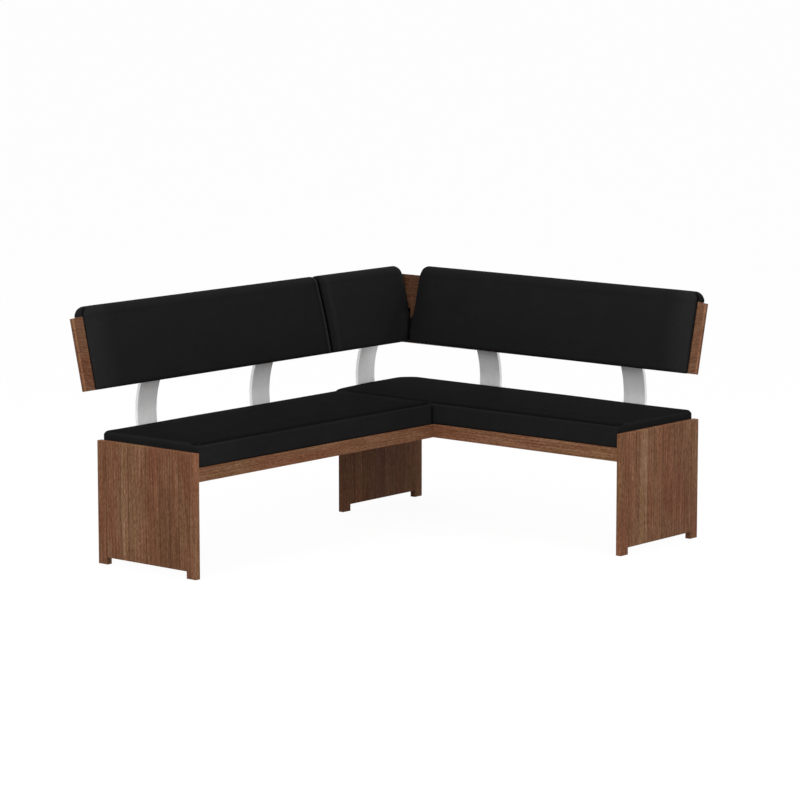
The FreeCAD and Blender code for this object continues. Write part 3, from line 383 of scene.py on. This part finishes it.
LEFT_STRIPS = (LONG_FRONT, [(25, 1.07), (50, 0.975), (43, 0.99), (47, 0.965), (65, 1.01),
                            (84, 1.07), (36, 1.20), (70, 1.065), (40, 1.05)])
RIGHT_STRIPS = (SHORT_FRONT, [(44, 1.00), (43, 1.04), (19, 1.08), (49, 1.19), (40, 1.03),
                              (47, 1.08), (90, 0.98), (48, 0.965), (42, 0.99), (38, 1.04)])
LEG_STRIPS = (CORNER_X - 0.440, [(62, 0.95), (48, 1.05), (70, 1.0), (56, 0.92), (66, 1.03),
                                 (52, 0.97), (60, 1.0), (60, 1.04)])
ALONG_X = (1.0, 0.0, 0.0)
ALONG_Y = (0.0, 1.0, 0.0)
ALONG_Z = (0.0, 0.0, 1.0)
PANEL_TOP = 0.430
# Half the width of the painted highlight along a lit edge.
EDGE_HIGHLIGHT_HALF = 0.0016
# Each upright's grain, strips' direction, strips, seed, tone and marks (painted edge highlights).
UPRIGHTS = {
    "left_end_panel": ("z", "y", LEFT_STRIPS, 3.1, 1.03,
                       (("band", ALONG_Y, LONG_FRONT, EDGE_HIGHLIGHT_HALF, 1.22),
                        ("band", ALONG_Z, PANEL_TOP, EDGE_HIGHLIGHT_HALF, 1.30))),
    "right_end_panel": ("z", "x", RIGHT_STRIPS, 8.6, 1.06,
                        (("band", ALONG_X, SHORT_FRONT, EDGE_HIGHLIGHT_HALF, 1.12),
                         ("band", ALONG_Z, PANEL_TOP, EDGE_HIGHLIGHT_HALF, 1.30))),
    "corner_leg": ("z", "x", LEG_STRIPS, 5.2, 1.0, ()),
}
# The short backrest's front panel is darker wood, and painted shade for the cushions' recess.
TONES_AND_SHADE = {"long_front_rail": 1.10, "short_front_rail": 1.17,
         "long_back_rear_board": 0.95, "short_back_rear_board": 0.95,
         "long_back_cheek_a": 0.90, "short_back_front_panel": 0.56}
# Widths in mm: a piece in one strip, and the staves of a board.
WIDE = 400
STAVE = 78


def plane(matrix, off):
    """The backrest's forward direction and where a plane at this distance lies along it."""
    forward = matrix.to_3x3() @ Vector((0.0, -1.0, 0.0))
    return tuple(forward), forward.dot(matrix.translation) + off


def level_walnut(name, cheek):
    """Walnut for the rails and the backrests, with the grain along each piece."""
    short = name.startswith("short")
    along = "y" if short != cheek else "x"
    low, high = (corner[2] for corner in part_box(name))
    low -= 0.002
    marks = ()
    if name.endswith("front_rail"):
        strips = (low, [(WIDE, 1.04)])
        # Painted highlight along the rail's top edge.
        marks = (("band", ALONG_Z, high, EDGE_HIGHLIGHT_HALF, 1.30),)
    elif cheek:
        strips = even_strips(low, WIDE, 1, len(name))
    else:
        strips = even_strips(low, STAVE, 4, len(name))
    if name.endswith("rear_board"):
        # The front of the board's edge is light, beside the core.
        marks = (("band", *plane(SHORT_BACK if short else LONG_BACK, 0.0155), 0.0055, 1.80),)
    seed = (sum(map(ord, name)) % 17) * 1.37
    return walnut(name, along, "z", strips, seed, TONES_AND_SHADE.get(name, 1.0), marks)


def longest_axis(name):
    low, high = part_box(name)
    size = [high[k] - low[k] for k in range(3)]
    return "xyz"[size.index(max(size))]


for name, slot in slots.items():
    if name in UPRIGHTS:
        dress(name, walnut(name, *UPRIGHTS[name]))
    elif slot.startswith("walnut"):
        dress(name, level_walnut(name, slot == "walnut_cheek"))
    elif slot == "beech":
        dress(name, beech(longest_axis(name)))
    elif slot == "plywood":
        dress(name, plywood("x" if name.startswith("long") else "y"))
    elif slot == "satin_steel":
        dress(name, satin_bar("x" if "long" in name else "y"))
    elif slot == "zinc_steel":
        dress(name, zinc())

# Eased arrises on everything that shows and is not curved.
for name, slot in slots.items():
    if slot.startswith("walnut") or slot in ("beech", "plywood", "satin_steel"):
        bevel = nodes[name].modifiers.new("eased_edge", "BEVEL")
        bevel.width = 0.0006 if slot == "satin_steel" else 0.0009
        bevel.segments = 2
        bevel.limit_method = "ANGLE"
        bevel.angle_limit = math.radians(40)
        bevel.harden_normals = False


# Cushions.
def new_object(name, mesh):
    piece = bpy.data.objects.new(name, mesh)
    scene.collection.objects.link(piece)
    return piece


def baked(piece):
    """The piece's mesh with its modifiers applied."""
    graph = bpy.context.evaluated_depsgraph_get()
    mesh = bpy.data.meshes.new_from_object(piece.evaluated_get(graph))
    old = piece.data
    piece.modifiers.clear()
    piece.data = mesh
    bpy.data.meshes.remove(old)


def vectors(items, what):
    flat = np.empty(len(items) * 3, np.float32)
    items.foreach_get(what, flat)
    return flat.reshape(-1, 3).astype(np.float64)


def points(mesh):
    return vectors(mesh.vertices, "co")


def normals(mesh):
    return vectors(mesh.vertex_normals, "vector")


def write(mesh, co):
    mesh.vertices.foreach_set("co", co.astype(np.float32).ravel())
    mesh.update()


def moved(co, matrix):
    full = np.array(matrix)
    return co @ full[:3, :3].T + full[:3, 3]


def smooth_step(value, low, high):
    t = np.clip((value - low) / (high - low), 0.0, 1.0)
    return t * t * (3 - 2 * t)


# Voxels of the simulated and of the finished skins. The simulation starts a little inside
# the skin, and its lift is squashed between LEAST inwards and MOST outwards.
COARSE = 0.008
FINE = 0.0035
SHRINK = 0.002
BALLOON = 0.045
LEAST = 0.0008
MOST = 0.0022
FRAMES = 20
PRESSURE = 4.0
STIFFNESS = 15.0


def remeshed(node, matrix, voxel):
    """The node's closed form as an even mesh, in its own level frame."""
    mesh = nodes[node].data.copy()
    mesh.transform(matrix.inverted())
    work = bmesh.new()
    work.from_mesh(mesh)
    bmesh.ops.remove_doubles(work, verts=work.verts, dist=0.00002)
    work.to_mesh(mesh)
    work.free()
    piece = new_object("even", mesh)
    remesh = piece.modifiers.new("remesh", "REMESH")
    remesh.mode = "VOXEL"
    remesh.voxel_size = voxel
    baked(piece)
    return piece


def swelling(node, matrix, held):
    """How far cloth pressure lifts the skin along its normal, at points of an even mesh."""
    piece = remeshed(node, matrix, COARSE)
    mesh = piece.data
    start = points(mesh)
    outward = normals(mesh)
    fixed = held(start)
    shrunk = start - outward * (SHRINK * (1.0 - fixed))[:, None]
    write(mesh, shrunk)
    group = piece.vertex_groups.new(name="held")
    group.add([int(k) for k in np.nonzero(fixed > 0.5)[0]], 1.0, "REPLACE")
    cloth = piece.modifiers.new("cloth", "CLOTH")
    cloth.settings.quality = 5
    cloth.settings.mass = 0.3
    cloth.settings.use_pressure = True
    cloth.settings.uniform_pressure_force = PRESSURE
    cloth.settings.effector_weights.gravity = 0.0
    cloth.settings.vertex_group_mass = "held"
    cloth.settings.tension_stiffness = STIFFNESS
    cloth.settings.compression_stiffness = STIFFNESS
    cloth.settings.bending_stiffness = 0.5
    cloth.point_cache.frame_start = 1
    cloth.point_cache.frame_end = FRAMES
    for step in range(1, FRAMES + 1):
        scene.frame_set(step)
    graph = bpy.context.evaluated_depsgraph_get()
    swollen = points(piece.evaluated_get(graph).data)
    piece.modifiers.clear()
    scene.frame_set(1)
    lift = ((swollen - shrunk) * outward).sum(axis=1)
    bpy.data.objects.remove(piece)
    bpy.data.meshes.remove(mesh)
    return start, lift


def spread(start, lift, targets):
    """The lift at each target, from the few nearest points."""
    tree = KDTree(len(start))
    for k, place in enumerate(start):
        tree.insert(place, k)
    tree.balance()
    found = np.empty(len(targets))
    for k, place in enumerate(targets):
        near = tree.find_n(place, 4)
        weights = [1.0 / (distance + 0.0005) for _, _, distance in near]
        found[k] = sum(w * lift[index] for w, (_, index, _) in zip(weights, near)) / sum(weights)
    return found


def inflated(node, name, matrix, held):
    """The node's form with a fine even skin, lifted as cloth pressure lifts it.

    held(local points) says which points are fixed to the board behind or below."""
    piece = remeshed(node, matrix, FINE)
    piece.name = name
    piece.data.name = name
    smooth = piece.modifiers.new("smooth", "SMOOTH")
    smooth.factor = 0.5
    smooth.iterations = 2
    baked(piece)
    start, lift = swelling(node, matrix, held)
    co = points(piece.data)
    rise = spread(start, lift, co)
    rise = np.tanh(rise / BALLOON)
    rise *= np.where(rise > 0.0, MOST, LEAST) * (1.0 - held(co))
    write(piece.data, co + normals(piece.data) * rise[:, None])
    return piece


def cover(node, tone, *marks):
    sheen = 0.002 if "seat" in node else 0.02
    return leatherette(node + "_cover", tone, sheen, marks)


# Seat cushions: underside, sewn crease, top without its crown, and where the top begins.
SEAT_LOW = 0.3803
SEAT_CREASE = 0.4573
SEAT_TOP = 0.4653
TOP_EDGE = SEAT_CREASE + 0.003
# The joint between the long and the corner back cushion leans, and so do the marks beside
# it: LONG_END is where the long one ends, along their direction.
LONG_PAD_END = -0.500
CORNER_PAD_END = -0.492
JOINT_LEAN = 0.045
JOINT_LEVEL = 0.650
BESIDE_JOINT = (1.0, 0.0, JOINT_LEAN)
LONG_END = CORNER_X + LONG_PAD_END + JOINT_LEAN * JOINT_LEVEL
# Painted shade lines where the back cushions' hoods meet the core at the free ends.
LONG_CORE_SHADE = ("band", *plane(LONG_BACK, CORE_FRONT + 0.0010), 0.0070, 0.30)
SHORT_CORE_SHADE = ("band", *plane(SHORT_BACK, CORE_FRONT + 0.0010), 0.0070, 0.30)
# The crease is deep, and its painted shade dark, only near the front faces; both come in over this
# room.
FRONT_ROOM = (0.055, 0.035)
LONG_NEAR = [LONG_FRONT + room for room in FRONT_ROOM]
SHORT_NEAR = [SHORT_FRONT + room for room in FRONT_ROOM]
# Each cover's tone, set per cushion so that the ones in more shade are painted lighter, and its
# marks: painted shade in creases, at end faces and joints, and painted highlights on rounded ends
# and edges.
COVERS = {
    "long_seat_cushion": cover(
        "long_seat_cushion", 1.52,
        # Painted shade in the sewn crease, deepest near the front face.
        ("band", ALONG_Z, SEAT_CREASE, 0.0042, 0.55, (ALONG_Y, *LONG_NEAR)),
        # Painted shade: the top darker than the boxing.
        ("step", ALONG_Z, SEAT_CREASE, TOP_EDGE, 0.64),
        # Painted highlight on the front towards the left end.
        ("step", ALONG_X, CORNER_X - 1.450, CORNER_X - 1.580, 1.15,
         (ALONG_Z, TOP_EDGE, SEAT_CREASE)),
        # Painted shade on the last few millimetres of the left end.
        ("step", ALONG_X, CORNER_X - 1.682, CORNER_X - 1.690, 0.85),
        # Painted light that takes out the shade on the rounding beside the short seat.
        ("step", ALONG_X, SHORT_FRONT - 0.014, SHORT_FRONT - 0.004, 1.4,
         (ALONG_Z, SEAT_CREASE - 0.002, TOP_EDGE))),
    "short_seat_cushion": cover(
        "short_seat_cushion", 1.58,
        # Painted shade in the sewn crease, deepest near the front face.
        ("band", ALONG_Z, SEAT_CREASE, 0.0042, 0.55, (ALONG_X, *SHORT_NEAR)),
        # Painted shade: the top darker than the boxing.
        ("step", ALONG_Z, SEAT_CREASE, TOP_EDGE, 0.67),
        # Painted shade on the last few millimetres of the right end.
        ("step", ALONG_Y, CORNER_Y - 1.274, CORNER_Y - 1.282, 0.87),
        # Painted light that takes out the shade on the rounding beside the long seat.
        ("step", ALONG_X, SHORT_FRONT + 0.014, SHORT_FRONT + 0.004, 1.5,
         (ALONG_Y, LONG_FRONT, LONG_FRONT + 0.030))),
    "long_back_cushion": cover(
        "long_back_cushion", 1.28,
        # Painted shade line where the hood meets the core at the free end.
        (*LONG_CORE_SHADE, (ALONG_X, CORNER_X - 1.690, CORNER_X - 1.706)),
        # Painted highlight where the free end rounds off towards the light.
        ("step", ALONG_X, CORNER_X - 1.580, CORNER_X - 1.690, 1.38),
        # Painted shade just before the joint with the corner cushion.
        ("band", BESIDE_JOINT, LONG_END - 0.0290, 0.0055, 0.74),
        # Painted highlight on the rounded edge at the joint.
        ("band", BESIDE_JOINT, LONG_END - 0.0100, 0.0085, 2.1)),
    "corner_back_cushion": cover(
        "corner_back_cushion", 1.50,
        # Painted shadow in the gap at the joint with the long cushion.
        ("step", BESIDE_JOINT, LONG_END + 0.016, LONG_END + 0.009, 0.45),
        # Painted shade fading out beside the joint.
        ("step", BESIDE_JOINT, LONG_END + 0.038, LONG_END + 0.012, 0.74),
        # Painted highlight on the rounded end beside the joint.
        ("band", BESIDE_JOINT, LONG_END + 0.046, 0.014, 1.20),
        # Painted shade over the lower part towards the corner, which the short backrest hides.
        ("step", (1.0, 0.0, -1.0), -0.026, 0.004, 0.86),
        # Painted light that takes out shade near the corner end.
        ("step", ALONG_X, CORNER_X - 0.058, CORNER_X - 0.034, 1.45)),
    "short_back_cushion": cover(
        "short_back_cushion", 1.36,
        # Painted shade towards the corner end.
        ("step", ALONG_Y, CORNER_Y - 0.110, CORNER_Y - 0.040, 0.88),
        # Painted shadow line at the corner end, beside the wood.
        ("step", ALONG_Y, CORNER_Y - 0.034, CORNER_Y - 0.027, 0.50),
        # Painted highlight where the free end rounds off towards the light.
        ("step", ALONG_Y, CORNER_Y - 1.180, CORNER_Y - 1.280, 1.42),
        # Painted shade line where the hood meets the core at the free end.
        (*SHORT_CORE_SHADE, (ALONG_Y, CORNER_Y - 1.282, CORNER_Y - 1.298)),
        # Painted shadow line at the very free end, beside the wood.
        ("step", ALONG_Y, CORNER_Y - 1.299, CORNER_Y - 1.306, 0.50)),
}


def settle(piece, node):
    """Gives a cushion its cover and its place on the bench, instead of its CAD node."""
    mesh = piece.data
    mesh.materials.clear()
    mesh.materials.append(COVERS[node])
    mesh.polygons.foreach_set("use_smooth", [True] * len(mesh.polygons))
    mesh.update()
    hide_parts(node)
    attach(piece, "root")


def refine_band(mesh, inside):
    """Halves the edges whose two ends both lie in a band."""
    work = bmesh.new()
    work.from_mesh(mesh)
    work.verts.ensure_lookup_table()
    co = np.array([v.co for v in work.verts])
    chosen = inside(co)
    edges = [e for e in work.edges if chosen[e.verts[0].index] and chosen[e.verts[1].index]]
    bmesh.ops.subdivide_edges(work, edges=edges, cuts=1, use_grid_fill=True)
    work.to_mesh(mesh)
    work.free()


def long_crown(co):
    """The long seat's crown height, nearness to the front face and nearness to the joint."""
    length = smooth_step(co[:, 0], CORNER_X - 1.640, CORNER_X - 1.200)
    depth = smooth_step(co[:, 1], LONG_FRONT, LONG_FRONT + 0.300)
    front = smooth_step(co[:, 1], *LONG_NEAR)
    joint = smooth_step(co[:, 0], SHORT_FRONT - 0.013, SHORT_FRONT - 0.007)
    return (0.0018 + 0.0026 * length) * depth, front, joint


def short_crown(co):
    """The same for the short seat, whose rear corner beside the long seat is lower."""
    length = smooth_step(co[:, 1], CORNER_Y - 1.130, CORNER_Y - 0.700)
    depth = smooth_step(co[:, 0], SHORT_FRONT + 0.050, SHORT_FRONT + 0.240)
    rear = smooth_step(co[:, 1], CORNER_Y - 0.080, CORNER_Y + 0.030)
    corner = rear * smooth_step(co[:, 0], SHORT_FRONT + 0.110, SHORT_FRONT)
    beside = smooth_step(co[:, 1], LONG_FRONT, LONG_FRONT + 0.030)
    front = smooth_step(co[:, 0], *SHORT_NEAR) * (1.0 - beside)
    joint = smooth_step(co[:, 0], SHORT_FRONT + 0.013, SHORT_FRONT + 0.007) * beside
    joint *= smooth_step(co[:, 1], CORNER_Y + 0.005, CORNER_Y - 0.020)
    return (0.0022 + 0.0028 * length) * depth - 0.0045 * corner, front, joint


# How far the crease reaches up and down, its least depth, how much deeper it is at the
# front, and how much of the joint's rounding is filled up between the two seats.
CREASE_REACH = 0.0032
CREASE_LEAST = 0.0015
CREASE_MORE = 0.0045
JOINT_FILL = 0.75


def seat(node, name, low, high, crown):
    """A seat cushion: boxing, a sewn crease under the top and a crowned top.

    low and high are the corners of its plan; crown(points) says how the top rises."""
    def held(co):
        return (co[:, 2] < SEAT_LOW + 0.004).astype(float)

    piece = inflated(node, name, Matrix.Identity(4), held)
    mesh = piece.data
    refine_band(mesh, lambda co: np.abs(co[:, 2] - SEAT_CREASE) < 0.011)
    co = points(mesh)
    normal = normals(mesh)
    level = np.linalg.norm(normal[:, :2], axis=1)
    flat = normal[:, :2] / np.maximum(level, 1e-6)[:, None]
    rise, front, joint = crown(co)
    near = np.exp(-((co[:, 2] - SEAT_CREASE) / CREASE_REACH) ** 2) * smooth_step(level, 0.35, 0.8)
    co[:, :2] -= flat * ((CREASE_LEAST + CREASE_MORE * front) * near)[:, None]
    co[:, 0] = np.clip(co[:, 0], low[0], high[0])
    co[:, 1] = np.clip(co[:, 1], low[1], high[1])
    co[:, 2] = np.clip(co[:, 2], SEAT_LOW, SEAT_TOP + 0.001)
    above = smooth_step(co[:, 2], SEAT_CREASE - 0.003, TOP_EDGE)
    co[:, 2] += JOINT_FILL * (SEAT_TOP - co[:, 2]) * joint * above
    co[:, 2] += rise * above
    write(mesh, co)
    settle(piece, node)


# The rounding of the back cushions beside their joint: its length, and how far it lowers
# the top and draws the front in.
JOINT_RUN = 0.020
JOINT_DROP = 0.009
JOINT_DRAW = 0.008


def ahead_of_core(co):
    """From 0 where a back cushion meets the core to 1 in its front."""
    return np.clip((-co[:, 1] - CORE_FRONT - 0.004) / 0.012, 0.0, 1.0)


def rounded_joint(co, joint):
    """Rounds a cushion's end off at the top and front, beside another cushion in line."""
    near = np.clip(1.0 - np.abs(co[:, 0] - joint) / JOINT_RUN, 0.0, 1.0)
    bend = 1.0 - np.sqrt(1.0 - near ** 2)
    top = smooth_step(co[:, 2], BACK_HEIGHT - 0.010, BACK_HEIGHT + 0.020)
    drawn = JOINT_DRAW * (0.5 + 0.5 * smooth_step(co[:, 2], 0.080, 0.220))
    beside = smooth_step(np.abs(co[:, 0] - joint), 0.120, 0.020)
    co[:, 0] -= JOINT_LEAN * (co[:, 2] - 0.050) * beside
    co[:, 1] += drawn * bend * ahead_of_core(co)
    co[:, 2] -= JOINT_DROP * bend * top


def full_foot(co):
    """The corner cushion swells low down, where the short backrest's core stands clear."""
    high = smooth_step(co[:, 2], 0.118, 0.085) * smooth_step(co[:, 2], 0.002, 0.030)
    inner = smooth_step(co[:, 0], -0.110, -0.055)
    co[:, 1] -= 0.008 * high * ahead_of_core(co) * inner


def leaning_end(co):
    """The short cushion's corner end leans away from the corner cushion above its foot."""
    high = smooth_step(co[:, 2], 0.100, 0.150)
    low = smooth_step(co[:, 2], 0.112, 0.085) * smooth_step(co[:, 2], 0.008, 0.035)
    co[:, 0] += (0.002 * high - 0.010 * low) * smooth_step(co[:, 0], 0.100, 0.031)


def full_edges(co):
    """The short cushion's cover stands a little fuller over the top and under the foot."""
    outward = smooth_step(co[:, 0], 0.050, 1.200)
    co[:, 2] += (0.0042 - 0.0022 * outward) * smooth_step(co[:, 2], 0.257, 0.278)
    co[:, 2] -= 0.0030 * outward * smooth_step(co[:, 2], 0.040, 0.0)


def pad(node, name, matrix, x_low, x_high, *shapings):
    """A back cushion over the board's top, fixed to the board behind it.

    x_low and x_high are its ends in the board's own frame; each shaping moves points."""
    def held(co):
        off = -co[:, 1]
        rise = co[:, 2]
        backed = (off < CORE_FRONT + 0.003) & (rise < BACK_HEIGHT + 0.002)
        under = (rise < BACK_HEIGHT + 0.004) & (off < CORE_FRONT)
        return (backed | under).astype(float)

    piece = inflated(node, name, matrix, held)
    mesh = piece.data
    co = points(mesh)
    co[:, 2] -= 0.0030 * smooth_step(co[:, 2], 0.030, 0.004)
    off = -co[:, 1]
    low_part = co[:, 2] < BACK_HEIGHT - 0.004
    off = np.where(low_part, np.maximum(off, CORE_FRONT), np.maximum(off, BOARD_FRONT))
    co[:, 1] = -off
    hood = off < CORE_FRONT - 0.002
    co[:, 2] = np.where(hood, np.maximum(co[:, 2], BACK_HEIGHT + 0.0003), co[:, 2])
    co[:, 2] = np.maximum(co[:, 2], -0.0015)
    co[:, 0] = np.clip(co[:, 0], x_low, x_high)
    for shape in shapings:
        shape(co)
    write(mesh, moved(co, matrix))
    settle(piece, node)


def at(u, v):
    """A place in the plan, from millimetres along the long and the short arm."""
    return CORNER_X - u / 1000, CORNER_Y - v / 1000


seat("long_seat_cushion", "long_seat_pad", at(1694.7, 459.7), at(460.3, 2.0), long_crown)
seat("short_seat_cushion", "short_seat_pad", at(459.7, 1286.7), at(2.0, -50.0), short_crown)
pad("long_back_cushion", "long_back_pad", LONG_BACK, -1.716, LONG_PAD_END,
    lambda co: rounded_joint(co, LONG_PAD_END))
pad("corner_back_cushion", "corner_back_pad", LONG_BACK, CORNER_PAD_END, -0.027,
    lambda co: rounded_joint(co, CORNER_PAD_END), full_foot)
pad("short_back_cushion", "short_back_pad", SHORT_BACK, 0.031, 1.308, leaning_end, full_edges)


# Floor, light and camera.
WHITE = (1.0, 1.0, 1.0, 1.0)


def floor_look():
    """Pale floor: white to the camera, with the bench's shadow kept faint."""
    look = Look("floor")
    tone = look.span(look.noise(look.place, 1.5, 2.0), 0.3, 0.7, 0.54, 0.56)
    look.finish(Base_Color=look.grey(tone), Roughness=0.9, Specular_IOR_Level=0.0)
    glow = look.add("ShaderNodeEmission", {"Color": WHITE, "Strength": 1.058})
    share = look.math("MULTIPLY", look.backdrop_rays(), 0.90)
    look.put(look.out, "Surface", look.blend(share, look.surface, glow))
    return look.material


floor_mesh = bpy.data.meshes.new("floor")
FAR = 60.0
floor_mesh.from_pydata([(-FAR, -FAR, 0.0), (FAR, -FAR, 0.0), (FAR, FAR, 0.0), (-FAR, FAR, 0.0)],
                       [], [(0, 1, 2, 3)])
floor = new_object("floor", floor_mesh)
floor.data.materials.append(floor_look())

world = bpy.data.worlds.new("studio")
scene.world = world
world.use_nodes = True
sky = Nodes(world.node_tree)
soft = sky.add("ShaderNodeBackground", {"Color": WHITE, "Strength": 0.62})
white = sky.add("ShaderNodeBackground", {"Color": WHITE, "Strength": 1.0})
sky.add("ShaderNodeOutputWorld", {"Surface": sky.blend(sky.backdrop_rays(), soft, white)})


def softbox(name, place, target, width, height, power):
    data = bpy.data.lights.new(name, "AREA")
    data.shape = "RECTANGLE"
    data.size = width
    data.size_y = height
    data.energy = power
    lamp = new_object(name, data)
    lamp.location = place
    aim = Vector(target) - Vector(place)
    lamp.rotation_euler = aim.to_track_quat("-Z", "Y").to_euler()


softbox("top_box", (-0.4, -0.3, 4.2), (0.0, 0.0, 0.4), 4.0, 4.0, 40.0)
softbox("left_box", (-5.0, -0.6, 2.6), (0.0, 0.0, 0.4), 3.5, 3.0, 120.0)
softbox("right_box", (-0.2, -5.2, 2.6), (0.2, 0.0, 0.4), 3.5, 3.0, 110.0)

# The camera that fits the photograph's straight edges.
EYE = Vector((CORNER_X - 9.8291, CORNER_Y - 8.1805, 2.2986))
YAW = math.radians(40.06)
PITCH = math.radians(8.57)
ahead = Vector((math.cos(YAW) * math.cos(PITCH), math.sin(YAW) * math.cos(PITCH),
                -math.sin(PITCH)))
lens = bpy.data.cameras.new("camera")
lens.sensor_fit = "HORIZONTAL"
lens.sensor_width = 36.0
lens.lens = 152.33
lens.clip_start = 0.5
lens.clip_end = 400.0
camera = new_object("camera", lens)
camera.location = EYE
camera.rotation_euler = ahead.to_track_quat("-Z", "Y").to_euler()
scene.camera = camera

scene.view_settings.view_transform = "Standard"
bpy.context.view_layer.update()
